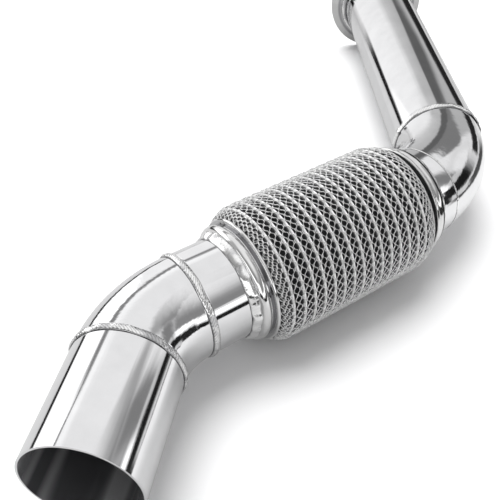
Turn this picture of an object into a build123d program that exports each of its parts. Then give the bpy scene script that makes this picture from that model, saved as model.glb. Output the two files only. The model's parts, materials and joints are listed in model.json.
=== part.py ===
"""Turbo downpipe, lying on its side as it comes to rest.

A round inlet flange, a long inlet pipe and a tight elbow lead into a flexible coupling under a
knitted wire sleeve. Behind it a short link pipe and a gentler bend end in an open outlet pipe.

Units are millimetres. The origin is the centre of the inlet flange's sealing face, +Y points out
of that face and +Z is up. Every centreline lies in the plane Z = 0, and the part rests on the
rim of its flange and on the sleeve of its coupling.
"""
from build123d import *
import math
import os

# Tube. Each size below called a step is how far a circle's edge stands outside the tube.
tube_d = 76.2
tube_wall = 1.5

# Centreline, from the inlet flange to the outlet mouth
inlet_run_length = 318.0
inlet_bend_radius = 94.0
inlet_bend_angle = 58.0
coupling_run_length = 208.0
outlet_bend_radius = 84.0
outlet_bend_angle = 45.0
outlet_run_length = 85.0

# Inlet flange: a clamp flange with a conical back
flange_rim_step = 15.9
flange_rim_thickness = 5.0
flange_cone_angle = 20.0
flange_hub_step = 5.4
flange_hub_length = 1.5
flange_shoulder_thickness = 4.0
flange_edge_chamfer = 0.6
register_groove_step = 7.9
register_groove_width = 2.6
register_groove_depth = 1.5

# Rear link: the short slice of bend between the coupling and the elbow
rear_link_angle = 9.0

# How far each link pipe reaches into the coupling, and the clearances of what slides together
link_insertion = 10.5
slip_clearance = 0.1
layer_clearance = 0.25

# End caps of the coupling: a round shoulder, a groove and a rolled lip
cap_length = 12.5
cap_neck_wall = 3.4
cap_shoulder_step = 6.6
cap_shoulder_length = 7.4
cap_groove_step = 5.1
cap_rim_step = 9.3
cap_lip_radius = 1.5
cap_pocket_depth = 6.0
front_cap_start = 34.5

# Bellows
convolution_count = 15
bellows_wall = 0.8
trough_step = 5.4
crest_flat = 2.2
trough_flat = 2.0
end_crest_drop = 2.0
first_crest_offset = 8.5
last_crest_offset = 16.1

# Interlocking liner
liner_wall = 1.0
liner_rib_height = 1.4
liner_rib_width = 5.0
liner_rib_pitch = 12.0

# Support rings, between the bellows' cuffs and the tails of the wire sleeve
support_ring_wall = 0.8
support_ring_length = 5.5

# Knitted wire sleeve
sleeve_step = 15.6
sleeve_wall = 0.7
sleeve_ridge_height = 0.7
sleeve_ridge_width = 4.4
sleeve_tail_wall = 1.2
sleeve_shoulder_step = 9.4
sleeve_front_groove = 0.3
sleeve_rear_groove = 5.0
sleeve_gap_width = 2.6
sleeve_gap_length = 7.0
sleeve_gap_cut = 2.8
sleeve_gaps_per_valley = 10

# Weld beads, and the bevel on the tube ends that the butt welds fill
seam_width = 6.0
seam_height = 1.1
bevel_length = 3.2
bevel_depth = 0.6
bead_clearance = 0.12
fillet_belly_place = 0.6
fillet_belly_height = 0.7
cap_bead_width = 6.0
cap_bead_clearance = 0.4
flange_bead_width = 5.0
flange_bead_height = 4.28
link_seam_width = 2.4
link_seam_height = 0.5

tube_r = tube_d / 2
bore_r = tube_r - tube_wall

os.makedirs("parts", exist_ok=True)

# The centreline, drawn from the inlet flange backwards to the outlet mouth
with BuildLine() as centreline:
    inlet_run = Line((0, 0), (0, -inlet_run_length))
    inlet_arc = JernArc(inlet_run @ 1, inlet_run % 1, inlet_bend_radius, -inlet_bend_angle)
    coupling_run = PolarLine(inlet_arc @ 1, coupling_run_length, direction=inlet_arc % 1)
    outlet_arc = JernArc(
        coupling_run @ 1, coupling_run % 1, outlet_bend_radius, outlet_bend_angle
    )
    outlet_run = PolarLine(outlet_arc @ 1, outlet_run_length, direction=outlet_arc % 1)


def section_plane(edge, share=0.0):
    """The plane across a centreline edge at a share of its length, facing along it."""
    return Plane(origin=edge @ share, z_dir=edge % share)


def profile_plane(point, direction):
    """The plane of a turned profile: local X runs along the axis and local Y is the radius."""
    return Plane(origin=point, x_dir=direction, z_dir=(0, 0, 1))


def turning_axis(plane):
    """The axis that a profile on this plane is turned about."""
    return Axis(plane.origin, plane.x_dir)


def bend_axis(arc):
    """The upright axis through the centre of a bend."""
    return Axis(arc.arc_center, (0, 0, 1))


def ring_profile(outer_r, inner_r):
    """The tube's cross-section: a circle with a concentric hole."""
    Circle(outer_r)
    Circle(inner_r, mode=Mode.SUBTRACT)


def closed_outline(points):
    """A face with straight sides through the points."""
    Polygon(*points, align=None)


def outer_edge_at(part, point):
    """The edge round the outside of a tube at its end nearest the point."""
    circles = part.edges().filter_by(GeomType.CIRCLE)
    outer = circles.filter_by(lambda e: abs(e.radius - tube_r) < bevel_depth / 2)
    return outer.sort_by(lambda e: (e.arc_center - point).length)[0]


def bevel_tube_end(part, point):
    """Bevels the outside of a tube's end, where a butt weld fills the groove."""
    edge = outer_edge_at(part, point)
    beside = part.faces().filter_by(lambda face: any(e.is_same(edge) for e in face.edges()))
    skin = beside.filter_by(lambda face: face.geom_type != GeomType.PLANE)[0]
    chamfer(edge, bevel_length, bevel_depth, reference=skin)


def domed_bead(width, height, foot_r, root_depth):
    """Half a lens standing on the tube, with a root below it: the section of a weld bead."""
    with BuildLine() as outline:
        ThreePointArc((-width / 2, foot_r), (0, foot_r + height), (width / 2, foot_r))
        if root_depth:
            Polyline((width / 2, foot_r), (0, foot_r - root_depth), (-width / 2, foot_r))
        else:
            Line((width / 2, foot_r), (-width / 2, foot_r))
    make_face(outline.edges())


# The coupling's own axis runs from the outlet side, x = 0, to the inlet side
coupling_axis = -(coupling_run % 1)
coupling_plane = profile_plane(coupling_run @ 1, coupling_axis)
coupling_turn = turning_axis(coupling_plane)

# Places along the coupling's axis
front_cap_end = front_cap_start + cap_length
rear_cap_end = coupling_run_length
rear_cap_start = rear_cap_end - cap_length
front_pocket = front_cap_end - cap_pocket_depth
rear_pocket = rear_cap_start + cap_pocket_depth
front_seat = front_pocket + layer_clearance
rear_seat = rear_pocket - layer_clearance
first_crest = front_cap_end + first_crest_offset
last_crest = rear_cap_start - last_crest_offset
convolution_pitch = (last_crest - first_crest) / (convolution_count - 1)
crests = [first_crest + n * convolution_pitch for n in range(convolution_count)]
valleys = [(a + b) / 2 for a, b in zip(crests, crests[1:])]

# Layers of the coupling, from the tube outwards
liner_r = tube_r + slip_clearance
cuff_r = liner_r + liner_wall + slip_clearance
ring_r = cuff_r + bellows_wall + slip_clearance
tail_r = ring_r + support_ring_wall + slip_clearance
pocket_r = tail_r + sleeve_tail_wall + slip_clearance
sleeve_r = tube_r + sleeve_step
sleeve_valley_r = sleeve_r - sleeve_ridge_height
sleeve_inner_r = sleeve_valley_r - sleeve_wall
crest_r = sleeve_inner_r - layer_clearance
cap_neck_r = liner_r + cap_neck_wall
cap_shoulder_r = tube_r + cap_shoulder_step
cap_groove_r = tube_r + cap_groove_step
cap_rim_r = tube_r + cap_rim_step
trough_r = tube_r + trough_step

# Outlet pipe: a plain tube, open at the mouth
with BuildPart() as outlet_pipe:
    with BuildSketch(section_plane(outlet_run)):
        ring_profile(tube_r, bore_r)
    extrude(amount=outlet_run_length)
    bevel_tube_end(outlet_pipe, outlet_run @ 0)
outlet_pipe.part.label = "outlet_pipe"
export_step(outlet_pipe.part, "parts/outlet_pipe.step")

# Outlet bend
with BuildPart() as outlet_bend:
    with BuildSketch(section_plane(outlet_arc)):
        ring_profile(tube_r, bore_r)
    revolve(axis=bend_axis(outlet_arc), revolution_arc=outlet_bend_angle)
    bevel_tube_end(outlet_bend, outlet_arc @ 0)
    bevel_tube_end(outlet_bend, outlet_arc @ 1)
outlet_bend.part.label = "outlet_bend"
export_step(outlet_bend.part, "parts/outlet_bend.step")

# Front link pipe: from the outlet bend into the coupling's front cap
with BuildPart() as front_link_pipe:
    with BuildSketch(section_plane(coupling_run, 1)):
        ring_profile(tube_r, bore_r)
    extrude(amount=-(front_cap_start + link_insertion))
    bevel_tube_end(front_link_pipe, coupling_run @ 1)
front_link_pipe.part.label = "front_link_pipe"
export_step(front_link_pipe.part, "parts/front_link_pipe.step")

# Rear link: a straight end inside the cap and the first slice of the inlet bend
with BuildPart() as rear_link_pipe:
    with BuildSketch(section_plane(coupling_run)):
        ring_profile(tube_r, bore_r)
    extrude(amount=link_insertion)
    with BuildSketch(section_plane(inlet_arc, 1)):
        ring_profile(tube_r, bore_r)
    revolve(axis=bend_axis(inlet_arc), revolution_arc=rear_link_angle)
rear_link_pipe.part.label = "rear_link_pipe"
export_step(rear_link_pipe.part, "parts/rear_link_pipe.step")

# Inlet bend: the elbow, from the rear link to the inlet pipe
with BuildPart() as inlet_bend:
    with BuildSketch(section_plane(inlet_arc)):
        ring_profile(tube_r, bore_r)
    revolve(axis=bend_axis(inlet_arc), revolution_arc=-(inlet_bend_angle - rear_link_angle))
    bevel_tube_end(inlet_bend, inlet_arc @ 0)
inlet_bend.part.label = "inlet_bend"
export_step(inlet_bend.part, "parts/inlet_bend.step")

# Inlet pipe: its end stands against the flange's shoulder
with BuildPart() as inlet_pipe:
    with BuildSketch(section_plane(inlet_run, 1)):
        ring_profile(tube_r, bore_r)
    extrude(amount=-(inlet_run_length - flange_shoulder_thickness - slip_clearance))
    bevel_tube_end(inlet_pipe, inlet_run @ 1)
inlet_pipe.part.label = "inlet_pipe"
export_step(inlet_pipe.part, "parts/inlet_pipe.step")

# Inlet flange: turned in one piece, with a socket for the pipe behind its shoulder
flange_r = tube_r + flange_rim_step
flange_hub_r = tube_r + flange_hub_step
register_groove_r = tube_r + register_groove_step
flange_hub_start = flange_rim_thickness + (flange_r - flange_hub_r) * math.tan(
    math.radians(flange_cone_angle)
)
flange_back = flange_hub_start + flange_hub_length
flange_plane = profile_plane(inlet_run @ 0, inlet_run % 0)
with BuildPart() as inlet_flange:
    with BuildSketch(flange_plane):
        closed_outline(
            [
                (0, bore_r),
                (0, flange_r),
                (flange_rim_thickness, flange_r),
                (flange_hub_start, flange_hub_r),
                (flange_back, flange_hub_r),
                (flange_back, liner_r),
                (flange_shoulder_thickness, liner_r),
                (flange_shoulder_thickness, bore_r),
            ]
        )
    revolve(axis=turning_axis(flange_plane))
    rim_edges = inlet_flange.edges().filter_by(GeomType.CIRCLE).sort_by(SortBy.RADIUS)[-2:]
    chamfer(rim_edges, flange_edge_chamfer)
    with BuildSketch(section_plane(inlet_run)):
        ring_profile(
            register_groove_r + register_groove_width / 2,
            register_groove_r - register_groove_width / 2,
        )
    extrude(amount=register_groove_depth, mode=Mode.SUBTRACT)
inlet_flange.part.label = "inlet_flange"
export_step(inlet_flange.part, "parts/inlet_flange.step")


def coupling_x(x, facing):
    """A plane on the coupling's axis at x whose local X faces along it (1) or back (-1)."""
    point = coupling_plane.origin + coupling_plane.x_dir * x
    return profile_plane(point, coupling_plane.x_dir * facing)


def end_cap_outline():
    """Section of an end cap, from its welded end at x = 0 to the face of its rolled lip."""
    lip_centre_r = cap_rim_r - cap_lip_radius
    lip_start = cap_length - 2 * cap_lip_radius
    pocket_start = cap_length - cap_pocket_depth
    with BuildLine() as outline:
        ThreePointArc(
            (cap_shoulder_length, cap_groove_r),
            (cap_shoulder_length / 2, cap_shoulder_r),
            (0, cap_neck_r),
        )
        Polyline(
            (0, cap_neck_r), (0, liner_r), (pocket_start, liner_r), (pocket_start, pocket_r),
            (cap_length, pocket_r), (cap_length, lip_centre_r),
        )
        Polyline(
            (lip_start, lip_centre_r), (lip_start, cap_groove_r),
            (cap_shoulder_length, cap_groove_r),
        )
        ThreePointArc(
            (cap_length, lip_centre_r),
            (cap_length - cap_lip_radius, cap_rim_r),
            (lip_start, lip_centre_r),
        )
    make_face(outline.edges())


# End caps: turned rings, each holding the layers of the coupling in a pocket behind its lip
front_cap_plane = coupling_x(front_cap_start, 1)
with BuildPart() as front_end_cap:
    with BuildSketch(front_cap_plane):
        end_cap_outline()
    revolve(axis=turning_axis(front_cap_plane))
front_end_cap.part.label = "front_end_cap"
export_step(front_end_cap.part, "parts/front_end_cap.step")

rear_cap_plane = coupling_x(rear_cap_end, -1)
with BuildPart() as rear_end_cap:
    with BuildSketch(rear_cap_plane):
        end_cap_outline()
    revolve(axis=turning_axis(rear_cap_plane))
rear_end_cap.part.label = "rear_end_cap"
export_step(rear_end_cap.part, "parts/rear_end_cap.step")


def bellows_skin(top_r, end_r, root_r, shift):
    """One skin of the bellows: flat crests and troughs, wider or narrower by the shift."""
    points = []
    for x in crests:
        r = end_r if x in (crests[0], crests[-1]) else top_r
        points.append((x - convolution_pitch / 2 + trough_flat / 2 - shift, root_r))
        points.append((x - crest_flat / 2 - shift, r))
        points.append((x + crest_flat / 2 + shift, r))
        points.append((x + convolution_pitch / 2 - trough_flat / 2 + shift, root_r))
    return points


# Bellows: the gas-tight wall, with a plain cuff at each end
wall_run = (convolution_pitch - crest_flat - trough_flat) / 2
wall_angle = math.atan2(crest_r - trough_r, wall_run)
skin_shift = bellows_wall * math.tan(wall_angle / 2)
end_crest_r = crest_r - end_crest_drop
first_root = crests[0] - convolution_pitch / 2
last_root = crests[-1] + convolution_pitch / 2
outer_skin = bellows_skin(crest_r, end_crest_r, trough_r, 0)
inner_skin = bellows_skin(
    crest_r - bellows_wall, end_crest_r - bellows_wall, trough_r - bellows_wall, -skin_shift
)
with BuildPart() as bellows:
    with BuildSketch(coupling_plane):
        closed_outline(
            [(front_seat, cuff_r + bellows_wall), (first_root, cuff_r + bellows_wall)]
            + outer_skin[1:-1]
            + [(last_root, cuff_r + bellows_wall), (rear_seat, cuff_r + bellows_wall)]
            + [(rear_seat, cuff_r), (last_root, cuff_r)]
            + inner_skin[-2:0:-1]
            + [(first_root, cuff_r), (front_seat, cuff_r)]
        )
    revolve(axis=coupling_turn)
bellows.part.label = "bellows"
export_step(bellows.part, "parts/bellows.step")

# Interlocking liner: a folded strip that keeps the gas flow off the bellows
liner_middle = (crests[0] + crests[-1]) / 2
liner_rib_count = int((crests[-1] - crests[0] - liner_rib_width) / liner_rib_pitch) + 1
first_rib = liner_middle - (liner_rib_count - 1) * liner_rib_pitch / 2
liner_outer_r = liner_r + liner_wall
liner_ribs = []
for n in range(liner_rib_count):
    rib_start = first_rib + n * liner_rib_pitch - liner_rib_width / 2
    rib_end = rib_start + liner_rib_width
    rib_top_r = liner_outer_r + liner_rib_height
    liner_ribs += [(rib_start, liner_outer_r), (rib_start, rib_top_r)]
    liner_ribs += [(rib_end, rib_top_r), (rib_end, liner_outer_r)]
with BuildPart() as interlock_liner:
    with BuildSketch(coupling_plane):
        closed_outline(
            [(front_seat, liner_r), (front_seat, liner_outer_r)]
            + liner_ribs
            + [(rear_seat, liner_outer_r), (rear_seat, liner_r)]
        )
    revolve(axis=coupling_turn)
interlock_liner.part.label = "interlock_liner"
export_step(interlock_liner.part, "parts/interlock_liner.step")

# Support rings: one inside each cap, under the tail of the sleeve
with BuildPart() as front_support_ring:
    with BuildSketch(coupling_x(front_seat, 1)):
        ring_at = (support_ring_length / 2, ring_r + support_ring_wall / 2)
        with Locations(ring_at):
            Rectangle(support_ring_length, support_ring_wall)
    revolve(axis=coupling_turn)
front_support_ring.part.label = "front_support_ring"
export_step(front_support_ring.part, "parts/front_support_ring.step")

with BuildPart() as rear_support_ring:
    with BuildSketch(coupling_x(rear_seat, -1)):
        with Locations(ring_at):
            Rectangle(support_ring_length, support_ring_wall)
    revolve(axis=coupling_turn)
rear_support_ring.part.label = "rear_support_ring"
export_step(rear_support_ring.part, "parts/rear_support_ring.step")


def sleeve_skin(drop_from, peaks):
    """The sleeve's run over the crests: ridges with peaks, or the plain line under them."""
    points = []
    for x in crests:
        r = drop_from - (end_crest_drop if x in (crests[0], crests[-1]) else 0)
        points.append((x - sleeve_ridge_width / 2, r))
        if peaks:
            points.append((x, r + sleeve_ridge_height))
        points.append((x + sleeve_ridge_width / 2, r))
    return points


# Knitted wire sleeve: one wall with a ridge over each crest and open gaps in the valleys
tail_outer_r = tail_r + sleeve_tail_wall
shoulder_r = tube_r + sleeve_shoulder_step
sleeve_front = front_cap_end + sleeve_front_groove
sleeve_rear = rear_cap_start - sleeve_rear_groove
front_turn = sleeve_front + sleeve_tail_wall
rear_turn = sleeve_rear - sleeve_tail_wall
under_r = shoulder_r - sleeve_tail_wall
with BuildPart() as wire_mesh_sleeve:
    with BuildSketch(coupling_plane):
        closed_outline(
            [(front_seat, tail_outer_r), (sleeve_front, tail_outer_r)]
            + [(sleeve_front, under_r), (front_turn, shoulder_r)]
            + sleeve_skin(sleeve_valley_r, True)
            + [(rear_turn, shoulder_r), (sleeve_rear, under_r)]
            + [(sleeve_rear, tail_outer_r), (rear_seat, tail_outer_r)]
            + [(rear_seat, tail_r), (rear_turn, tail_r), (rear_turn, under_r)]
            + sleeve_skin(sleeve_inner_r, False)[::-1]
            + [(front_turn, under_r), (front_turn, tail_r), (front_seat, tail_r)]
        )
    revolve(axis=coupling_turn)
    for n, x in enumerate(valleys[1:-1]):
        gap_turn = 180 / sleeve_gaps_per_valley * (n % 2)
        valley_point = coupling_plane.origin + coupling_axis * x
        with Locations(Plane(valley_point, x_dir=(0, 0, 1), z_dir=coupling_axis)):
            with PolarLocations(sleeve_valley_r, sleeve_gaps_per_valley, gap_turn):
                Box(sleeve_gap_cut, sleeve_gap_length, sleeve_gap_width, mode=Mode.SUBTRACT)
wire_mesh_sleeve.part.label = "wire_mesh_sleeve"
export_step(wire_mesh_sleeve.part, "parts/wire_mesh_sleeve.step")


def fillet_bead(width, height, foot_r):
    """A bead in the corner between a face at x = 0 and the tube behind it."""
    with BuildLine() as outline:
        Line((0, foot_r), (0, foot_r + height))
        ThreePointArc(
            (0, foot_r + height),
            (width * fillet_belly_place, foot_r + height * fillet_belly_height),
            (width, foot_r),
        )
        Line((width, foot_r), (0, foot_r))
    make_face(outline.edges())


# Weld seams: low beads round the butt joints of the tube
outlet_seam_plane = profile_plane(outlet_run @ 0, outlet_run % 0)
with BuildPart() as outlet_seam_weld:
    with BuildSketch(outlet_seam_plane):
        domed_bead(seam_width, seam_height, tube_r + bead_clearance, bevel_depth)
    revolve(axis=turning_axis(outlet_seam_plane))
outlet_seam_weld.part.label = "outlet_seam_weld"
export_step(outlet_seam_weld.part, "parts/outlet_seam_weld.step")

with BuildPart() as link_seam_weld:
    with BuildSketch(coupling_plane):
        domed_bead(seam_width, seam_height, tube_r + bead_clearance, bevel_depth)
    revolve(axis=coupling_turn)
link_seam_weld.part.label = "link_seam_weld"
export_step(link_seam_weld.part, "parts/link_seam_weld.step")

rear_seam_share = 1 - rear_link_angle / inlet_bend_angle
rear_seam_plane = profile_plane(inlet_arc @ rear_seam_share, inlet_arc % rear_seam_share)
with BuildPart() as rear_link_weld:
    with BuildSketch(rear_seam_plane):
        domed_bead(link_seam_width, link_seam_height, tube_r + bead_clearance, 0)
    revolve(axis=turning_axis(rear_seam_plane))
rear_link_weld.part.label = "rear_link_weld"
export_step(rear_link_weld.part, "parts/rear_link_weld.step")

inlet_seam_plane = profile_plane(inlet_run @ 1, inlet_run % 1)
with BuildPart() as inlet_seam_weld:
    with BuildSketch(inlet_seam_plane):
        domed_bead(seam_width, seam_height, tube_r + bead_clearance, bevel_depth)
    revolve(axis=turning_axis(inlet_seam_plane))
inlet_seam_weld.part.label = "inlet_seam_weld"
export_step(inlet_seam_weld.part, "parts/inlet_seam_weld.step")

# Corner beads: round the necks of the end caps and behind the flange's hub
cap_bead_height = cap_neck_r - tube_r - cap_bead_clearance
front_bead_plane = coupling_x(front_cap_start, -1)
with BuildPart() as front_cap_weld:
    with BuildSketch(front_bead_plane):
        fillet_bead(cap_bead_width, cap_bead_height, tube_r + cap_bead_clearance)
    revolve(axis=turning_axis(front_bead_plane))
front_cap_weld.part.label = "front_cap_weld"
export_step(front_cap_weld.part, "parts/front_cap_weld.step")

rear_bead_plane = coupling_x(rear_cap_end, 1)
with BuildPart() as rear_cap_weld:
    with BuildSketch(rear_bead_plane):
        fillet_bead(cap_bead_width, cap_bead_height, tube_r + cap_bead_clearance)
    revolve(axis=turning_axis(rear_bead_plane))
rear_cap_weld.part.label = "rear_cap_weld"
export_step(rear_cap_weld.part, "parts/rear_cap_weld.step")

flange_bead_point = inlet_run @ 0 + (inlet_run % 0) * flange_back
flange_bead_plane = profile_plane(flange_bead_point, inlet_run % 0)
with BuildPart() as flange_weld:
    with BuildSketch(flange_bead_plane):
        fillet_bead(flange_bead_width, flange_bead_height, tube_r + bead_clearance)
    revolve(axis=turning_axis(flange_bead_plane))
flange_weld.part.label = "flange_weld"
export_step(flange_weld.part, "parts/flange_weld.step")
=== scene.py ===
"""Dresses a turbo downpipe: polished tubes, rippled weld beads, bellows and a knitted wire sleeve.

Each operator builds one piece, or one group of like pieces, from the sizes in the scene's
property groups. Everything is in metres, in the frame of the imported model.
"""

import json
import math

import bpy
import numpy as np
from bpy.props import FloatProperty, FloatVectorProperty, IntProperty, PointerProperty
from bpy.types import Operator, Panel, PropertyGroup
from mathutils import Matrix, Vector

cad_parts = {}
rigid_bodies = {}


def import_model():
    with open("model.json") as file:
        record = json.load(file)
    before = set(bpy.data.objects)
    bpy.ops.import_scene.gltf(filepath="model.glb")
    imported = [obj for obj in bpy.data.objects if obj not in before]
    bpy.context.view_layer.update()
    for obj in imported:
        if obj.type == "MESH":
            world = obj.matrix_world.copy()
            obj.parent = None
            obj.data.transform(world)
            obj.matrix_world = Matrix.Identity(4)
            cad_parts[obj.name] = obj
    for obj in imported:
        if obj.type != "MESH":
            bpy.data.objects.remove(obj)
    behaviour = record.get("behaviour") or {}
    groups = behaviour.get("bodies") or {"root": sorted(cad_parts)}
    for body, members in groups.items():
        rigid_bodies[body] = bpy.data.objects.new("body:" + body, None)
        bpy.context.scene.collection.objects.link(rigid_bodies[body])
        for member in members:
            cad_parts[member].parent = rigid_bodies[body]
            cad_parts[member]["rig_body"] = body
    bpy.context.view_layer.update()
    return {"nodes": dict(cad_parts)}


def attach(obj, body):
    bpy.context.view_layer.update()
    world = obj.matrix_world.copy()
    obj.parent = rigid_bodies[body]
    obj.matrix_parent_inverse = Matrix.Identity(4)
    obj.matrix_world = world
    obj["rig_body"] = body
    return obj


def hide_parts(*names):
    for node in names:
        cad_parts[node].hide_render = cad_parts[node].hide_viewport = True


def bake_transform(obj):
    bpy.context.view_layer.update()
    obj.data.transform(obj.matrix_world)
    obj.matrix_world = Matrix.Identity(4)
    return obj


bl_info = {
    "name": "Turbo Downpipe",
    "version": (1, 0, 0),
    "blender": (4, 5, 0),
    "location": "View3D > Sidebar > Downpipe",
    "description": "Builds a polished turbo downpipe with a knitted wire coupling, and its studio",
    "category": "Object",
}

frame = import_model()

# Sizes of the solids that the dressed pieces are fitted to
TUBE_R = 0.0381
BORE_R = 0.0366
INLET_LENGTH = 0.318
INLET_BEND_R = 0.094
INLET_BEND_ANGLE = math.radians(58)
COUPLING_LENGTH = 0.208
OUTLET_BEND_R = 0.084
OUTLET_BEND_ANGLE = math.radians(45)
REAR_LINK_ANGLE = math.radians(9)
CAP_NECK_R = 0.0416
FRONT_CAP_START = 0.0345
FRONT_CAP_END = 0.047
REAR_CAP_START = 0.1955
REAR_CAP_END = 0.208
FLANGE_BACK = 0.01032
FLANGE_BEAD_R = 0.0425
SLEEVE_FRONT = 0.0473
SLEEVE_REAR = 0.1905
FLOOR_HEIGHT = -0.054

CREST_COUNT = 15
CREST_PITCH = 0.00885
FIRST_CREST = 0.0555
LAST_CREST = FIRST_CREST + (CREST_COUNT - 1) * CREST_PITCH

# Places and directions on the centreline, which lies flat, from the inlet face backwards
UP = Vector((0, 0, 1))
INLET_AXIS = Vector((0, 1, 0))


def heading(angle):
    """The direction towards the inlet of a run that is turned by this angle."""
    return Vector((math.sin(angle), math.cos(angle), 0))


def beside(angle):
    """The level direction across a run that is turned by this angle."""
    return Vector((math.cos(angle), -math.sin(angle), 0))


INLET_BEND_CENTRE = Vector((-INLET_BEND_R, -INLET_LENGTH, 0))
COUPLING_AXIS = heading(INLET_BEND_ANGLE)
ACROSS_COUPLING = beside(INLET_BEND_ANGLE)
COUPLING_REAR = INLET_BEND_CENTRE + ACROSS_COUPLING * INLET_BEND_R
COUPLING_FRONT = COUPLING_REAR - COUPLING_AXIS * COUPLING_LENGTH
INLET_SEAM = Vector((0, -INLET_LENGTH, 0))
OUTLET_BEND_CENTRE = COUPLING_FRONT + ACROSS_COUPLING * OUTLET_BEND_R
OUTLET_TURN = INLET_BEND_ANGLE - OUTLET_BEND_ANGLE
OUTLET_AXIS = heading(OUTLET_TURN)
OUTLET_SEAM = OUTLET_BEND_CENTRE - beside(OUTLET_TURN) * OUTLET_BEND_R
REAR_LINK_TURN = INLET_BEND_ANGLE - REAR_LINK_ANGLE
REAR_LINK_SEAM = INLET_BEND_CENTRE + beside(REAR_LINK_TURN) * INLET_BEND_R


# Meshes


def mesh_piece(name, points, quads, material, attributes=()):
    """A new smooth mesh object from arrays of points and of four-cornered faces."""
    mesh = bpy.data.meshes.new(name)
    mesh.vertices.add(len(points))
    mesh.vertices.foreach_set("co", np.asarray(points, np.float32).ravel())
    mesh.loops.add(quads.size)
    mesh.loops.foreach_set("vertex_index", quads.astype(np.int32).ravel())
    mesh.polygons.add(len(quads))
    mesh.polygons.foreach_set("loop_start", np.arange(0, quads.size, 4, dtype=np.int32))
    mesh.update(calc_edges=True)
    mesh.validate()
    mesh.shade_smooth()
    for label, values in attributes:
        attribute = mesh.attributes.new(label, "FLOAT", "POINT")
        attribute.data.foreach_set("value", np.asarray(values, np.float32).ravel())
    mesh.materials.append(material)
    piece = bpy.data.objects.new(name, mesh)
    bpy.context.scene.collection.objects.link(piece)
    return piece


def grid_quads(rows, columns, close_rows, close_columns, first=0):
    """The faces of a grid of points, row after row, closed on itself where asked."""
    r = np.arange(rows if close_rows else rows - 1)
    c = np.arange(columns if close_columns else columns - 1)
    r, c = np.meshgrid(r, c, indexing="ij")
    r2, c2 = (r + 1) % rows, (c + 1) % columns
    corners = (r * columns + c, r2 * columns + c, r2 * columns + c2, r * columns + c2)
    return first + np.stack(corners, -1).reshape(-1, 4)


def turned_points(centre, axis, along, radius, angle):
    """Points at distances along an axis, radii from it and angles round it from straight up."""
    across = np.array(axis.cross(UP))
    axis, up, centre = np.array(axis), np.array(UP), np.array(centre)
    out = np.sin(angle)[..., None] * across + np.cos(angle)[..., None] * up
    return centre + along[..., None] * axis + radius[..., None] * out


def turned_piece(name, centre, axis, profile, steps, material, attributes=()):
    """A piece turned from a closed profile of (along, radius) pairs round an axis."""
    profile = np.array(profile)
    angle = np.linspace(0, 2 * np.pi, steps, endpoint=False)
    along = np.broadcast_to(profile[:, 0:1], (len(profile), steps))
    radius = np.broadcast_to(profile[:, 1:2], (len(profile), steps))
    turn = np.broadcast_to(angle, (len(profile), steps))
    points = turned_points(centre, axis, along, radius, turn).reshape(-1, 3)
    quads = grid_quads(len(profile), steps, True, True)
    return mesh_piece(name, points, quads, material, attributes)


# Materials

# Numbers of the mix node's sockets, whose names are the same for values and for colours
FIRST_VALUE, SECOND_VALUE, MIXED_VALUE = 2, 3, 0
FIRST_COLOUR, SECOND_COLOUR, MIXED_COLOUR = 6, 7, 2


def new_finish(name):
    """A new material, with its tree, its shader and where its object's own points come from."""
    finish = bpy.data.materials.new(name)
    finish.use_nodes = True
    tree = finish.node_tree
    place = tree.nodes.new("ShaderNodeTexCoord")
    return finish, tree, tree.nodes["Principled BSDF"], place.outputs["Object"]


def add_node(tree, kind, values=None, **settings):
    """A node with its settings made and its sockets set or linked."""
    node = tree.nodes.new(kind)
    for key, value in settings.items():
        setattr(node, key, value)
    for key, value in (values or {}).items():
        fill_socket(tree, node.inputs[key], value)
    return node


def fill_socket(tree, socket, value):
    """Links a socket to another one, or sets its own value."""
    if isinstance(value, bpy.types.NodeSocket):
        tree.links.new(value, socket)
    else:
        socket.default_value = value


def fill_shader(tree, shader, colour, roughness, normal, metallic):
    """Links or sets the shader's colour, roughness, bump and metal."""
    values = {"Base Color": colour, "Roughness": roughness, "Normal": normal, "Metallic": metallic}
    for name, value in values.items():
        fill_socket(tree, shader.inputs[name], value)


def noise(tree, vector, scale, detail=3.0):
    """Grain of the given scale."""
    values = {"Vector": vector, "Scale": scale, "Detail": detail, "Roughness": 0.5}
    return add_node(tree, "ShaderNodeTexNoise", values).outputs["Fac"]


def spread(tree, value, low, high, start=0.0, end=1.0):
    """A value that goes from low to high while the input goes from start to end."""
    values = {"Value": value, "From Min": start, "From Max": end, "To Min": low, "To Max": high}
    return add_node(tree, "ShaderNodeMapRange", values).outputs["Result"]


def math_node(tree, operation, first, second):
    """One sum."""
    return add_node(tree, "ShaderNodeMath", {0: first, 1: second}, operation=operation).outputs[0]


def vector_node(tree, operation, first, second=(0, 0, 0), output="Vector"):
    """One sum with vectors."""
    node = add_node(tree, "ShaderNodeVectorMath", {0: first, 1: second}, operation=operation)
    return node.outputs[output]


def off_line(tree, place, point, axis):
    """Distance from a straight centreline, and distance along it."""
    offset = vector_node(tree, "SUBTRACT", place, tuple(point))
    away = vector_node(tree, "CROSS_PRODUCT", offset, tuple(axis))
    distance = vector_node(tree, "LENGTH", away, output="Value")
    return distance, vector_node(tree, "DOT_PRODUCT", offset, tuple(axis), "Value")


def off_arc(tree, place, centre, radius):
    """Distance from a level round centreline, and height over its plane."""
    offset = vector_node(tree, "SUBTRACT", place, tuple(centre))
    level = vector_node(tree, "MULTIPLY", offset, (1, 1, 0))
    reach = math_node(tree, "SUBTRACT", vector_node(tree, "LENGTH", level, output="Value"), radius)
    height = add_node(tree, "ShaderNodeSeparateXYZ", {0: offset}).outputs["Z"]
    both = add_node(tree, "ShaderNodeCombineXYZ", {"X": reach, "Y": height}).outputs[0]
    return vector_node(tree, "LENGTH", both, output="Value"), height


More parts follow.
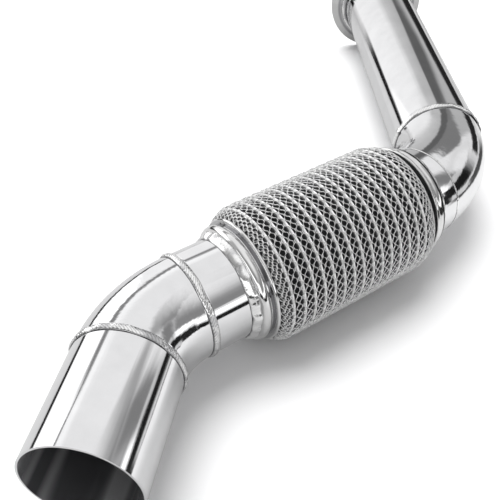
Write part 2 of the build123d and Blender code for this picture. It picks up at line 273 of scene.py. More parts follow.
def mixed_colour(tree, share, first, second):
    """Two colours, set or linked, mixed by a share that varies over the surface."""
    values = {"Factor": share}
    for number, colour in ((FIRST_COLOUR, first), (SECOND_COLOUR, second)):
        linked = isinstance(colour, bpy.types.NodeSocket)
        values[number] = colour if linked else (*colour, 1)
    return add_node(tree, "ShaderNodeMix", values, data_type="RGBA").outputs[MIXED_COLOUR]


def mixed_value(tree, share, first, second):
    """Two values, set or linked, mixed by a share that varies over the surface."""
    values = {"Factor": share, FIRST_VALUE: first, SECOND_VALUE: second}
    return add_node(tree, "ShaderNodeMix", values).outputs[MIXED_VALUE]


def bumped(tree, height, distance, under=None):
    """A bump from a height, over another one if given."""
    values = {"Height": height, "Distance": distance, "Strength": 1.0}
    if under is not None:
        values["Normal"] = under
    return add_node(tree, "ShaderNodeBump", values).outputs["Normal"]


def polished_tube(name, centreline, settings, waves):
    """Mirror-polished tube outside, dull mill finish inside its bore."""
    finish, tree, shader, place = new_finish(name)
    kind, *where = centreline
    distance, along = (off_line if kind == "line" else off_arc)(tree, place, *where)
    streaked = place
    if kind == "line":
        shift = vector_node(tree, "MULTIPLY", along, tuple(where[1] * 0.97))
        streaked = vector_node(tree, "SUBTRACT", place, shift)
    outside = spread(tree, distance, 0.0, 1.0, BORE_R + 0.0001, BORE_R + 0.0003)
    cloud = spread(tree, noise(tree, place, 60.0, 4.0), 0.0, 1.0, 0.3, 0.7)
    steel = mixed_colour(tree, cloud, (0.80, 0.80, 0.81), (0.86, 0.86, 0.87))
    streaks = spread(tree, noise(tree, streaked, 75.0, 1.0), 0.0, 1.0, 0.38, 0.62)
    dull = mixed_colour(tree, streaks, settings.bore_colour, settings.bore_streak_colour)
    polish = spread(tree, noise(tree, place, 900.0, 2.0), settings.polish * 0.7, settings.polish * 1.5)
    soft = bumped(tree, noise(tree, place, 22.0, 1.0), 0.0004 * waves)
    drawn = bumped(tree, noise(tree, streaked, 170.0, 2.0), 0.00009, soft)
    fill_shader(
        tree,
        shader,
        colour=mixed_colour(tree, outside, dull, steel),
        roughness=mixed_value(tree, outside, settings.bore_roughness, polish),
        normal=bumped(tree, noise(tree, place, 2200.0, 2.0), 0.000004, drawn),
        metallic=spread(tree, outside, 0.7, 1.0),
    )
    return finish


def turned_steel(name, point, axis, settings, groove, band_shade, tone=1.0):
    """Lathe-turned and polished steel: fine rings round the axis, and painted shade over a band along
    it.
    """
    finish, tree, shader, place = new_finish(name)
    distance, along = off_line(tree, place, point, axis)
    rings = add_node(tree, "ShaderNodeCombineXYZ", {"X": along, "Y": distance}).outputs[0]
    lines = noise(tree, rings, 2600.0, 2.0)
    bright = mixed_colour(tree, noise(tree, place, 70.0), (0.74 * tone,) * 3, (0.90 * tone,) * 3)
    # The band from start to end takes the painted shade colour in place of the bright steel.
    start, end = groove
    edge = 0.0006
    enter = spread(tree, along, 0.0, 1.0, start, start + edge)
    leave = spread(tree, along, 1.0, 0.0, end - edge, end)
    waves = bumped(tree, noise(tree, place, 70.0, 1.0), 0.0009)
    smooth = settings.turned_roughness
    fill_shader(
        tree,
        shader,
        colour=mixed_colour(tree, math_node(tree, "MULTIPLY", enter, leave), bright, band_shade),
        roughness=spread(tree, lines, smooth * 0.6, smooth * 1.6),
        normal=bumped(tree, lines, 0.000012, waves),
        metallic=1.0,
    )
    return finish


def welded_steel(name):
    """Bright weld metal, with painted shade at the bead's toes and between its ripples."""
    finish, tree, shader, place = new_finish(name)
    toe = add_node(tree, "ShaderNodeAttribute", attribute_name="toe").outputs["Fac"]
    patches = spread(tree, noise(tree, place, 95.0, 4.0), 0.0, 1.0, 0.52, 0.62)
    bright = mixed_colour(tree, patches, (1.0, 1.0, 1.0), (0.76, 0.76, 0.77))
    fill_shader(
        tree,
        shader,
        colour=mixed_colour(tree, toe, bright, (0.06, 0.06, 0.065)),
        roughness=spread(tree, patches, 0.10, 0.3),
        normal=bumped(tree, noise(tree, place, 1400.0), 0.00004),
        metallic=1.0,
    )
    return finish


def drawn_wire(name):
    """Drawn stainless wire, bright with a little grain along it."""
    finish, tree, shader, place = new_finish(name)
    grain = noise(tree, place, 1800.0, 2.0)
    fill_shader(
        tree,
        shader,
        colour=mixed_colour(tree, grain, (0.90, 0.90, 0.90), (1.0, 1.0, 1.0)),
        roughness=spread(tree, grain, 0.12, 0.26),
        normal=bumped(tree, grain, 0.00002),
        metallic=0.55,
    )
    return finish


def formed_sheet(name):
    """Rolled steel sheet: bright on the crests, with painted shade down in the folds."""
    finish, tree, shader, place = new_finish(name)
    depth = add_node(tree, "ShaderNodeAttribute", attribute_name="depth").outputs["Fac"]
    grain = noise(tree, place, 500.0)
    bright = mixed_colour(tree, grain, (0.92, 0.92, 0.92), (1.0, 1.0, 1.0))
    fill_shader(
        tree,
        shader,
        colour=mixed_colour(tree, depth, bright, (0.10, 0.10, 0.102)),
        roughness=mixed_value(tree, depth, spread(tree, grain, 0.08, 0.2), 0.3),
        normal=bumped(tree, grain, 0.00002),
        metallic=spread(tree, depth, 0.3, 0.7),
    )
    return finish


def shaded_tail(name):
    """Flattened knit under a cap's lip, painted nearly black for the shade there."""
    finish, tree, shader, place = new_finish(name)
    grain = noise(tree, place, 1500.0, 2.0)
    fill_shader(
        tree,
        shader,
        colour=mixed_colour(tree, grain, (0.02, 0.02, 0.022), (0.06, 0.06, 0.062)),
        roughness=spread(tree, grain, 0.4, 0.7),
        normal=bumped(tree, grain, 0.0001),
        metallic=0.6,
    )
    return finish


# Settings


class StudioSettings(PropertyGroup):
    """Camera, floor and light of the studio."""

    camera_place: FloatVectorProperty(
        name="Camera place",
        description="Where the camera stands",
        default=(-0.1834, -0.8545, 0.3565),
        subtype="TRANSLATION",
        unit="LENGTH",
    )
    lens: FloatProperty(
        name="Lens", description="Focal length in millimetres", default=50.99, unit="CAMERA"
    )
    sky: FloatProperty(
        name="Sky", description="Brightness of the soft light all round", default=0.56
    )
    key: FloatProperty(
        name="Key light", description="Strength of the broad light from behind", default=3.2
    )
    key_azimuth: FloatProperty(
        name="Key azimuth",
        description="Where the key light stands, from the inlet's direction",
        default=math.radians(-26),
        subtype="ANGLE",
    )
    key_height: FloatProperty(
        name="Key height",
        description="How high the key light stands",
        default=math.radians(68),
        subtype="ANGLE",
    )
    key_width: FloatProperty(
        name="Key width",
        description="How wide the key light looks from the part",
        default=math.radians(52),
        subtype="ANGLE",
    )
    floor_colour: FloatVectorProperty(
        name="Floor colour",
        description="Paint of the floor",
        default=(0.92, 0.92, 0.925),
        subtype="COLOR",
    )
    floor_radius: FloatProperty(
        name="Floor radius", description="Half the width of the floor", default=5.0, unit="LENGTH"
    )


class SteelSettings(PropertyGroup):
    """Finish of the tubes, caps and flange."""

    polish: FloatProperty(
        name="Polish", description="Roughness of the polished tubes", default=0.06, subtype="FACTOR"
    )
    turned_roughness: FloatProperty(
        name="Turned roughness",
        description="Roughness of the turned rings",
        default=0.08,
        subtype="FACTOR",
    )
    # Colour of the painted shade in the front cap's groove and in the flange's corner by its bead.
    groove_shade_colour: FloatVectorProperty(
        name="Groove colour",
        description="Dulled steel down in the grooves of the turned rings",
        default=(0.33, 0.33, 0.34),
        subtype="COLOR",
    )
    # This is the colour of painted shade on the rear cap's edge behind its shoulder, not of soot.
    shaded_colour: FloatVectorProperty(
        name="Shaded colour",
        description="Sooty steel behind the rear cap's shoulder",
        default=(0.04, 0.04, 0.042),
        subtype="COLOR",
    )
    bore_colour: FloatVectorProperty(
        name="Bore colour",
        description="Mill finish inside the tubes",
        default=(0.18, 0.18, 0.19),
        subtype="COLOR",
    )
    bore_streak_colour: FloatVectorProperty(
        name="Bore streak colour",
        description="Paler streaks along the inside of the tubes",
        default=(0.66, 0.66, 0.67),
        subtype="COLOR",
    )
    bore_roughness: FloatProperty(
        name="Bore roughness",
        description="Roughness inside the tubes",
        default=0.2,
        subtype="FACTOR",
    )


class BeadSettings(PropertyGroup):
    """Shape of the weld beads."""

    seam_width: FloatProperty(
        name="Seam width", description="Width of a butt seam", default=0.0056, unit="LENGTH"
    )
    seam_height: FloatProperty(
        name="Seam height", description="Height of a butt seam", default=0.0012, unit="LENGTH"
    )
    inlet_seam_width: FloatProperty(
        name="Inlet seam width",
        description="Width of the seam between the inlet pipe and the elbow",
        default=0.0074,
        unit="LENGTH",
    )
    inlet_seam_height: FloatProperty(
        name="Inlet seam height",
        description="Height of the seam between the inlet pipe and the elbow",
        default=0.0016,
        unit="LENGTH",
    )
    fine_width: FloatProperty(
        name="Fine width", description="Width of the fine rear seam", default=0.0018, unit="LENGTH"
    )
    fine_height: FloatProperty(
        name="Fine height", description="Height of the fine rear seam", default=0.0003, unit="LENGTH"
    )
    front_cap_width: FloatProperty(
        name="Front cap width",
        description="Foot of the bead at the front cap's neck",
        default=0.0062,
        unit="LENGTH",
    )
    rear_cap_width: FloatProperty(
        name="Rear cap width",
        description="Foot of the bead at the rear cap's neck",
        default=0.0046,
        unit="LENGTH",
    )
    flange_width: FloatProperty(
        name="Flange width",
        description="Foot of the bead behind the flange",
        default=0.0048,
        unit="LENGTH",
    )
    scale_pitch: FloatProperty(
        name="Scale pitch", description="Distance from ripple to ripple", default=0.0026, unit="LENGTH"
    )
    scale_depth: FloatProperty(
        name="Scale depth", description="Depth of a ripple", default=0.00048, unit="LENGTH"
    )


class BellowsSettings(PropertyGroup):
    """Shape of the bellows under the sleeve."""

    wall: FloatProperty(
        name="Wall", description="Thickness of the bellows' sheet", default=0.0006, unit="LENGTH"
    )
    root_radius: FloatProperty(
        name="Root radius", description="Radius at the troughs", default=0.0436, unit="LENGTH"
    )
    crest_radius: FloatProperty(
        name="Crest radius", description="Radius at the crests", default=0.0526, unit="LENGTH"
    )
    end_crest_radius: FloatProperty(
        name="End crest radius",
        description="Radius at the first and the last crest",
        default=0.0514,
        unit="LENGTH",
    )
    cuff_radius: FloatProperty(
        name="Cuff radius", description="Inner radius of the cuffs", default=0.0394, unit="LENGTH"
    )


class SleeveSettings(PropertyGroup):
    """Shape of the knitted wire sleeve."""

    outer_radius: FloatProperty(
        name="Outer radius", description="Radius over the ridges", default=0.0536, unit="LENGTH"
    )
    ridge_height: FloatProperty(
        name="Ridge height", description="Height of a ridge", default=0.0008, unit="LENGTH"
    )
    shoulder_drop: FloatProperty(
        name="Shoulder drop",
        description="How far the knit falls at its ends",
        default=0.0062,
        unit="LENGTH",
    )
    loops_round: IntProperty(
        name="Loops round", description="Loops of wire round the sleeve", default=48
    )
    wire_thickness: FloatProperty(
        name="Wire thickness", description="Thickness of one wire", default=0.00045, unit="LENGTH"
    )
    sway: FloatProperty(
        name="Sway", description="How far a wire swings to each side", default=0.00096, unit="LENGTH"
    )


# Pieces


def bead_section(kind, width, height, foot, points=13, toe_reach=7):
    """Heights of a bead over its foot, across its width, and painted shade by nearness to a toe."""
    share = np.linspace(0, 1, points)
    if kind == "butt":
        across = (share - 0.5) * width
        rise = height * np.sin(np.pi * share) ** 0.7
        from_toe = np.minimum(share, 1 - share)
    else:
        across = share * width
        rise = height * (1 - share**1.7)
        from_toe = 1 - share
    return across, foot + rise, np.clip(1 - from_toe * toe_reach, 0, 1)


def wavering(rng, angle, low, high, counts):
    """Waves round a ring, each of a random strength and start, added up."""
    return sum(rng.uniform(low, high) * np.sin(k * angle + rng.uniform(0, 6.28)) for k in counts)


def rippled_bead(name, centre, axis, section, settings, material, seed, shape):
    """A ring of weld metal with a ripple for each dab of the torch.

    Its shape is how far the ripples lean, how high the lumps are and the share of the ripples.
    """
    across, radius, toe = section
    lean, lumps, rippled = shape
    bare = 1 - toe[:, None]
    steps = 480
    rng = np.random.default_rng(seed)
    angle = np.linspace(0, 2 * np.pi, steps, endpoint=False)
    count = round(2 * np.pi * radius.mean() / settings.scale_pitch)
    share = np.linspace(-1, 1, len(across))[:, None]
    drift = wavering(rng, angle, 0.2, 0.7, (2, 3, 5, 7, 11))
    phase = (count * angle[None] + drift[None]) / (2 * np.pi) + lean * 0.55 * share + 0.3 * share**2
    scale = phase % 1.0
    ripple = rippled * settings.scale_depth * (1 - scale) ** 0.6 * bare
    swell = lumps * wavering(rng, angle, 0.3, 1.0, (9, 14, 17, 23, 31))[None] * bare
    rise = np.broadcast_to(radius[:, None], (len(across), steps)) + ripple + swell
    wander = 0.00022 * wavering(rng, angle, 0.2, 0.6, (4, 6, 9, 13))
    along = np.broadcast_to(across[:, None], rise.shape) + wander[None]
    turn = np.broadcast_to(angle, rise.shape)
    foot = np.full((1, steps), radius.min() - 0.0006)
    along = np.vstack([along[:1], along, along[-1:]])
    rise = np.vstack([foot, rise, foot])
    turn = np.vstack([turn[:1], turn, turn[:1]])
    # Painted shade: at the toes, in the hollow before each ripple, and on the foot rows.
    ripple_shade = 0.7 * rippled * np.clip((scale - 0.72) / 0.14, 0, 1) * bare
    painted_shade = np.vstack([np.ones((1, steps)), np.maximum(toe[:, None], ripple_shade), np.ones((1, steps))])
    points = turned_points(centre, axis, along, rise, turn).reshape(-1, 3)
    quads = grid_quads(len(rise), steps, True, True)
    return mesh_piece(name, points, quads, material, [("toe", painted_shade)])


class PolishedTubes(Operator):
    """Gives the tubes, caps and flange their polished and turned steel"""

    bl_idname = "downpipe.polished_tubes"
    bl_label = "Polish Tubes"

    def execute(self, context):
        steel = context.scene.downpipe_steel
        inlet = ("line", Vector((0, 0, 0)), INLET_AXIS)
        link = ("line", COUPLING_FRONT, COUPLING_AXIS)
        outlet = ("line", OUTLET_SEAM, OUTLET_AXIS)
        elbow = ("arc", INLET_BEND_CENTRE, INLET_BEND_R)
        bend = ("arc", OUTLET_BEND_CENTRE, OUTLET_BEND_R)
        finishes = {
            "inlet_pipe": polished_tube("inlet_pipe_steel", inlet, steel, 0.4),
            "inlet_bend": polished_tube("elbow_steel", elbow, steel, 1.2),
            "rear_link_pipe": polished_tube("rear_link_steel", elbow, steel, 0.6),
            "front_link_pipe": polished_tube("front_link_steel", link, steel, 0.5),
            "outlet_bend": polished_tube("outlet_bend_steel", bend, steel, 1.2),
            "outlet_pipe": polished_tube("outlet_pipe_steel", outlet, steel, 0.4),
        }
        # Bands along the caps and the flange that take painted shade
        groove = (FRONT_CAP_START + 0.0077, FRONT_CAP_END - 0.0026)
        edge = (REAR_CAP_END - 0.0042, REAR_CAP_END + 0.0010)
        corner = (-FLANGE_BACK + 0.0013, -FLANGE_BACK + 0.0030)
        coupling = (COUPLING_FRONT, COUPLING_AXIS, steel)
        front = turned_steel("front_cap_steel", *coupling, groove, steel.groove_shade_colour)
        # The rear cap's edge takes the painted shade colour.
        rear = turned_steel("rear_cap_steel", *coupling, edge, steel.shaded_colour, 0.9)
        for node in ("end_cap", "support_ring"):
            finishes[f"front_{node}"] = front
            finishes[f"rear_{node}"] = rear
        finishes["inlet_flange"] = turned_steel(
            "flange_steel", (0, 0, 0), INLET_AXIS, steel, corner, steel.groove_shade_colour, 0.74
        )
        for node, finish in finishes.items():
            data = frame["nodes"][node].data
            data.materials.clear()
            data.materials.append(finish)
        return {"FINISHED"}


class WeldBeads(Operator):
    """Builds the rippled weld beads of the seams, the caps and the flange"""

    bl_idname = "downpipe.weld_beads"
    bl_label = "Build Weld Beads"

    def execute(self, context):
        beads = context.scene.downpipe_beads
        metal = welded_steel("weld_steel")
        on_tube = TUBE_R + 0.00004
        neck = CAP_NECK_R - TUBE_R
        low = FLANGE_BEAD_R - TUBE_R - 0.0003
        seam = bead_section("butt", beads.seam_width, beads.seam_height, on_tube)
        wide = bead_section("butt", beads.inlet_seam_width, beads.inlet_seam_height, on_tube)
        fine = bead_section("butt", beads.fine_width, beads.fine_height, TUBE_R + 0.00003, points=9)
        cap = bead_section("corner", beads.front_cap_width, neck, on_tube)
        # A short toe reach spreads painted shade over the rear cap's bead and the flange's bead.
        dark_cap = bead_section("corner", beads.rear_cap_width, neck, on_tube, toe_reach=1.3)
        flange = bead_section("corner", beads.flange_width, low, on_tube, toe_reach=1.6)
        clear = 0.0001
        front = COUPLING_FRONT + COUPLING_AXIS * (FRONT_CAP_START - clear)
        rear = COUPLING_FRONT + COUPLING_AXIS * (REAR_CAP_END + clear)
        flange_back = Vector((0, -FLANGE_BACK - clear, 0))
        link_axis = heading(REAR_LINK_TURN)
        seam_shape, cap_shape = (2.6, 0.00012, 1.0), (1.0, 0.00022, 0.12)
        rings = [
            ("outlet_seam", OUTLET_SEAM, OUTLET_AXIS, seam, seam_shape),
            ("link_seam", COUPLING_FRONT, COUPLING_AXIS, seam, seam_shape),
            ("inlet_seam", INLET_SEAM, INLET_AXIS, wide, (-2.4, 0.00014, 0.8)),
            ("rear_link", REAR_LINK_SEAM, link_axis, fine, (1.0, 0.0, 0.3)),
            ("front_cap", front, -COUPLING_AXIS, cap, cap_shape),
            ("rear_cap", rear, COUPLING_AXIS, dark_cap, cap_shape),
            ("flange", flange_back, -INLET_AXIS, flange, (1.0, 0.00006, 0.4)),
        ]
        for number, (place, centre, axis, section, shape) in enumerate(rings):
            node = f"{place}_weld"
            piece = rippled_bead(f"{place}_bead", centre, axis, section, beads, metal, number, shape)
            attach(piece, frame["nodes"][node]["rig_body"])
            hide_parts(node)
        return {"FINISHED"}


def bend_with_coupling(piece, node):
    """Fixes a piece's place into its mesh, and hides the node that it stands in for."""
    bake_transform(piece)
    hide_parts(node)


def smooth_waves(first, last, low, high, end_high, steps=24):
    """Points along a row of round crests between round troughs."""
    profile = []
    for n in range(CREST_COUNT):
        top = end_high if n in (0, CREST_COUNT - 1) else high
        for k in range(steps):
            share = k / steps - 0.5
            lift = 0.5 + 0.5 * math.cos(2 * math.pi * share)
            along = FIRST_CREST + (n + share) * CREST_PITCH
            profile.append((along, low + (top - low) * lift))
    return [(first, low)] + profile + [(last, low)]


def bellows_profile(settings, start, end):
    """The bellows' wall with its cuffs, and each point's depth in a fold, for its painted shade."""
    wall, cuff = settings.wall, settings.cuff_radius
    radii = (settings.root_radius, settings.crest_radius, settings.end_crest_radius)
    first, last = FIRST_CREST - CREST_PITCH / 2, LAST_CREST + CREST_PITCH / 2
    outer = smooth_waves(first, last, *radii)
    inner = smooth_waves(first, last, *(radius - wall for radius in radii))
    profile = [(start, cuff + wall), (first, cuff + wall)] + outer
    profile += [(last, cuff + wall), (end, cuff + wall), (end, cuff), (last, cuff)]
    profile += inner[::-1] + [(first, cuff), (start, cuff)]
    depth = []
    for along, radius in profile:
        at_end = along < FIRST_CREST + CREST_PITCH / 2 or along > LAST_CREST - CREST_PITCH / 2
        top = settings.end_crest_radius if at_end else settings.crest_radius
        depth.append(min(1, max(0, (top - 0.0007 - radius) / 0.0010)))
    return profile, depth


def liner_profile(start, end):
    """The liner's wall: a strip folded over itself, turn after turn."""
    radius, wall, fold, lip = 0.0384, 0.0004, 0.006, 0.0006
    outer = []
    for n in range(int((end - start) / fold)):
        x = start + n * fold
        for share, lift in ((0, 0), (0.42, 0), (0.5, lip), (0.92, lip)):
            outer.append((x + fold * share, radius + lift))
    return outer + [(x, r + wall) for x, r in outer][::-1]


class CorrugatedBellows(Operator):
    """Builds the bellows and the liner inside the sleeve"""

    bl_idname = "downpipe.bellows"
    bl_label = "Build Bellows"

    def execute(self, context):
        sheet = formed_sheet("formed_steel")
        start, end = FRONT_CAP_END - 0.0055, REAR_CAP_START + 0.0055
        folds, depth = bellows_profile(context.scene.downpipe_bellows, start, end)
        strip = liner_profile(start, end)
        for name, node, profile, shade, steps in (
            ("corrugated_bellows", "bellows", folds, depth, 120),
            ("folded_liner", "interlock_liner", strip, [0.5] * len(strip), 96),
        ):
            # The depth attribute sets the painted shade; the liner takes half of it all over.
            shades = [("depth", np.repeat(shade, steps))]
            piece = turned_piece(
                name, COUPLING_FRONT, COUPLING_AXIS, profile, steps, sheet, shades
            )
            bend_with_coupling(piece, node)
        return {"FINISHED"}


def sleeve_radius(along, settings):
    """Radius of the middle of the knit at places along the coupling."""
    place = (along - FIRST_CREST) / CREST_PITCH
    trough = 0.5 - 0.5 * np.cos(2 * np.pi * place)
    radius = settings.outer_radius - settings.wire_thickness - settings.ridge_height * trough
    front = np.clip((along - SLEEVE_FRONT) / (FIRST_CREST + 0.006 - SLEEVE_FRONT), 0, 1)
    rear = np.clip((SLEEVE_REAR - along) / (SLEEVE_REAR - LAST_CREST + 0.003), 0, 1)
    drop = sum(1 - np.sqrt(1 - (1 - share) ** 2.4) for share in (front, rear))
    return radius - settings.shoulder_drop * drop


def knit_courses():
    """Each course's place along the coupling, its share of sway, its turn and how deep it lies."""
    per_crest = 3
    step = CREST_PITCH / per_crest
    barrel = FIRST_CREST + step / 2 + step * np.arange(-1, per_crest * (CREST_COUNT - 1) + 1)
    front = [0.0477, 0.0490, 0.0504, 0.0520]
    rear = [0.1833, 0.1850, 0.1865, 0.1878, 0.1890, 0.1900]
    places = np.concatenate([front, barrel, rear])
    sway = np.minimum(1, 1.6 * np.gradient(places) / step)
    courses = [(places[n], sway[n], n % 2, 0.0) for n in range(len(places))]
    # A second, lower layer fills the shoulders
    for n in (*range(3), *range(len(places) - 7, len(places) - 1)):
        middle = (places[n] + places[n + 1]) / 2
        courses.append((middle, sway[n], n % 2 + 0.5, 0.0008))
    return sorted(courses)


def wire_courses(name, settings, material, side, part):
    """One wire of a part of the knit: rings that sway to meet their neighbours in turn."""
    courses = knit_courses()
    rng = np.random.default_rng(5)
    loops, steps_per_loop, sides = settings.loops_round, 12, 3
    squareness = 2.6
    steps = loops * steps_per_loop
    angle = np.linspace(0, 2 * np.pi, steps, endpoint=False)
    half = settings.wire_thickness / 2
    points, quads = [], []
    for number, (place, share, turned, depth) in enumerate(courses):
        shift = rng.uniform(0, 6.28, 3)
        if number not in part:
            continue
        swing = np.cos(loops * angle + np.pi * turned)
        sway = settings.sway * share * np.tanh(squareness * swing) / math.tanh(squareness)
        for shake, start in zip((29, 41, 67), shift):
            sway = sway + 0.0003 * (1 - share) * np.sin(shake * angle + start)
        # The two wires of a course wind round each other, once for each loop
        twist = loops * angle + np.pi * side + 0.8 * number
        thick = half * (0.75 if depth else 1.15)
        along = place + sway + half * np.sin(twist) * 0.95
        radius = sleeve_radius(along, settings) + half * np.cos(twist) * 0.9 - depth
        a, r = [], []
        for k in range(sides):
            turn = 2 * np.pi * k / sides
            a.append(along + thick * math.sin(turn))
            r.append(radius + thick * math.cos(turn))
        a, r = np.array(a).T, np.array(r).T
        t = np.broadcast_to(angle[:, None], a.shape)
        first = len(points) * steps * sides
        points.append(turned_points(COUPLING_FRONT, COUPLING_AXIS, a, r, t).reshape(-1, 3))
        quads.append(grid_quads(steps, sides, True, True, first)[:, ::-1])
    return mesh_piece(name, np.concatenate(points), np.concatenate(quads), material)


class KnittedSleeve(Operator):
    """Knits the wire sleeve of the coupling, with its tails under the caps"""

    bl_idname = "downpipe.knitted_sleeve"
    bl_label = "Knit Sleeve"

    def execute(self, context):
        sleeve = context.scene.downpipe_sleeve
        wire = drawn_wire("knitted_wire")
        count = len(knit_courses())
        halves = {"front": range(count // 2), "rear": range(count // 2, count)}
        for half, part in halves.items():
            for side, order in enumerate(("first", "second")):
                yarn = wire_courses(f"{half}_knit_{order}_wire", sleeve, wire, side, part)
                bend_with_coupling(yarn, "wire_mesh_sleeve")
        shade = shaded_tail("shaded_knit")
        for name, body, inside, outside, step in (
            ("front_sleeve_tail", "outlet_side", FRONT_CAP_END - 0.0058, SLEEVE_FRONT, 0.0007),
            ("rear_sleeve_tail", "inlet_side", REAR_CAP_START + 0.0058, SLEEVE_REAR, -0.0007),
        ):
            profile = [(inside, 0.0412), (inside, 0.0422), (outside, 0.0422), (outside, 0.0462)]
            profile += [(outside + step, 0.0470), (outside + 2 * step, 0.0470)]
            profile.append((outside + 2 * step, 0.0412))
            tail = turned_piece(name, COUPLING_FRONT, COUPLING_AXIS, profile, 180, shade)
            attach(tail, body)
            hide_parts("wire_mesh_sleeve")
        return {"FINISHED"}


# Studio


# Panels of the tent round the object, which only reflections see, later ones over earlier ones.
# Each has its sides (degrees from the inlet's direction, clockwise seen from above), its lower
# and upper edge (degrees above level), its brightness, and how soft its left, right, lower and
# upper edges are.
TENT_PANELS = (
    ((-160, -74), (-14, 60), 0.45, (20, 10, 4, 20)),
    ((-90, -26), (0.5, 33), 1.5, (8, 3, 1, 1)),
    ((-90, -40), (20, 37.5), 1.5, (8, 6, 1, 1)),
    ((-90, -18), (40, 50), 1.04, (10, 24, 1, 12)),
    ((-60, 2), (40, 53), 1.12, (14, 12, 1, 12)),
    ((-90, -38), (37.2, 40.2), 0.15, (8, 8, 0.8, 0.8)),
    ((-4, 52), (0, 40), 0.5, (10, 6, 1, 14)),
    ((-28, 10), (-3, 31), 1.04, (3, 50, 2, 2)),
    ((-52, -4), (32.5, 41), 0.25, (10, 8, 2.5, 4)),
    ((14.5, 30), (12, 47), 0.13, (3, 6, 8, 8)),
    ((24, 56), (24, 41), 0.22, (4, 6, 4, 5)),
    ((16, 63), (-4, 9), 0.02, (5, 3, 1.5, 2)),
    ((-100, -19), (-9.5, -0.5), 0.012, (8, 4, 3, 2)),
    ((172, 262), (20, 52), 0.27, (8, 8, 1, 30)),
    ((172, 262), (7.5, 20.5), 1.5, (8, 8, 1.5, 1)),
    ((172, 262), (-7, 6.5), 0.012, (8, 8, 1.5, 1)),
)
TENT_CENTRE = (-0.12, -0.38, 0.0)
TENT_RADIUS = 1.6

# Panels, in the same form, of a screen that stands close round the outlet
SCREEN_PANELS = (
    ((46, 84), (30, 60), 0.42, (10, 6, 10, 26)),
    ((60, 82), (13.5, 46), 0.24, (8, 12, 2, 20)),
    ((72, 160), (17, 54), 0.27, (12, 8, 2, 34)),
    ((49, 66), (8, 22), 0.92, (8, 5, 2, 8)),
    ((62, 78), (8, 14.5), 0.62, (5, 3, 1, 1.5)),
    ((74, 106), (8.5, 18), 1.5, (5, 5, 1.5, 2)),
    ((100, 160), (4.5, 15), 1.5, (6, 8, 1.5, 2)),
    ((62, 80), (-8, 1), 0.7, (5, 3, 2, 1)),
    ((54, 82), (-0.5, 10), 0.012, (12, 2, 1, 1.2)),
    ((77, 104), (-6, 7), 0.02, (3, 6, 1, 1.5)),
    ((98, 160), (-6, 3.5), 0.012, (6, 8, 1, 1.5)),
)
SCREEN_CENTRE = (-0.25, -0.6, 0.0)
SCREEN_RADIUS = 0.6

REFLECTED_FLOOR_RADIUS = 0.62

# The camera's directions, away from what it looks at and to its right
CAMERA_BACK = Vector((-0.0163, -0.7481, 0.6633)).normalized()
CAMERA_RIGHT = Vector((0.99874, -0.0428, -0.0238))


def ramp(value, low, high):
    """A share that climbs smoothly from 0 at low to 1 at high."""
    share = np.clip((value - low) / (high - low), 0, 1)
    return share * share * (3 - 2 * share)


def panelled(panels, azimuth, elevation, bright, cover):
    """Lays panels over a brightness in each direction, and says how much of it is covered."""
    for (left, right), (low, high), value, softness in panels:
        across = (azimuth - left) % 360
        from_left = np.where(across > 270, across - 360, across)
        from_right = right - left - across
        share = np.ones_like(azimuth)
        for inside, soft in zip((from_left, from_right, elevation - low, high - elevation), softness):
            share *= ramp(inside, -soft * 0.2, soft * 0.8)
        bright = bright + (value - bright) * share
        cover = np.maximum(cover, share)
    return bright, cover


def hide_from(piece, *rays):
    """Hides an object from the named kinds of ray."""
    for ray in rays:
        setattr(piece, f"visible_{ray}", False)


def cloth_finish(name):
    """Glowing cloth, which is clear where its mesh gives it no cover."""
    cloth = bpy.data.materials.new(name)
    cloth.use_nodes = True
    tree = cloth.node_tree
    tree.nodes.clear()
    light = add_node(tree, "ShaderNodeAttribute", attribute_name="brightness").outputs["Fac"]
    share = add_node(tree, "ShaderNodeAttribute", attribute_name="cover").outputs["Fac"]
    glow = add_node(tree, "ShaderNodeEmission", {"Color": (1, 1, 1, 1), "Strength": light})
    clear = add_node(tree, "ShaderNodeBsdfTransparent")
    mixed = add_node(tree, "ShaderNodeMixShader", {0: share, 1: clear.outputs[0], 2: glow.outputs[0]})
    add_node(tree, "ShaderNodeOutputMaterial", {"Surface": mixed.outputs[0]})
    return cloth


def reflected_cloth(name, centre, radius, panels, bright, cover):
    """A ball of panelled cloth that only reflections see, clear where it has no cover."""
    columns, rows, lowest, highest = 360, 121, -30, 90
    azimuth, elevation = np.meshgrid(
        np.arange(columns, dtype=float), np.linspace(lowest, highest, rows), indexing="ij"
    )
    az, el = np.radians(azimuth), np.radians(elevation)
    way = np.stack([np.sin(az) * np.cos(el), np.cos(az) * np.cos(el), np.sin(el)], -1)
    points = (np.array(centre) + radius * way).reshape(-1, 3)
    cover = np.full_like(azimuth, cover)
    values = panelled(panels, azimuth, elevation, bright(elevation), cover)
    attributes = zip(("brightness", "cover"), values)
    quads = grid_quads(columns, rows, True, False)
    ball = mesh_piece(name, points, quads, cloth_finish(f"{name}_cloth"), attributes)
    hide_from(ball, "camera", "diffuse", "shadow", "transmission")


def open_brightness(elevation):
    """How bright the tent is between its panels."""
    return 0.84 + 0.08 * ramp(elevation, 0, 50) - 0.4 * ramp(-elevation, 2, 12)


def screen_ground(elevation):
    """How bright the screen is where its panels fade out."""
    return np.full_like(elevation, 0.5)


def matt_paint(name, roughness):
    """Paint without gloss, with its tree and its shader."""
    paint = bpy.data.materials.new(name)
    paint.use_nodes = True
    shader = paint.node_tree.nodes["Principled BSDF"]
    shader.inputs["Roughness"].default_value = roughness
    shader.inputs["Specular IOR Level"].default_value = 0.0
    return paint, paint.node_tree, shader


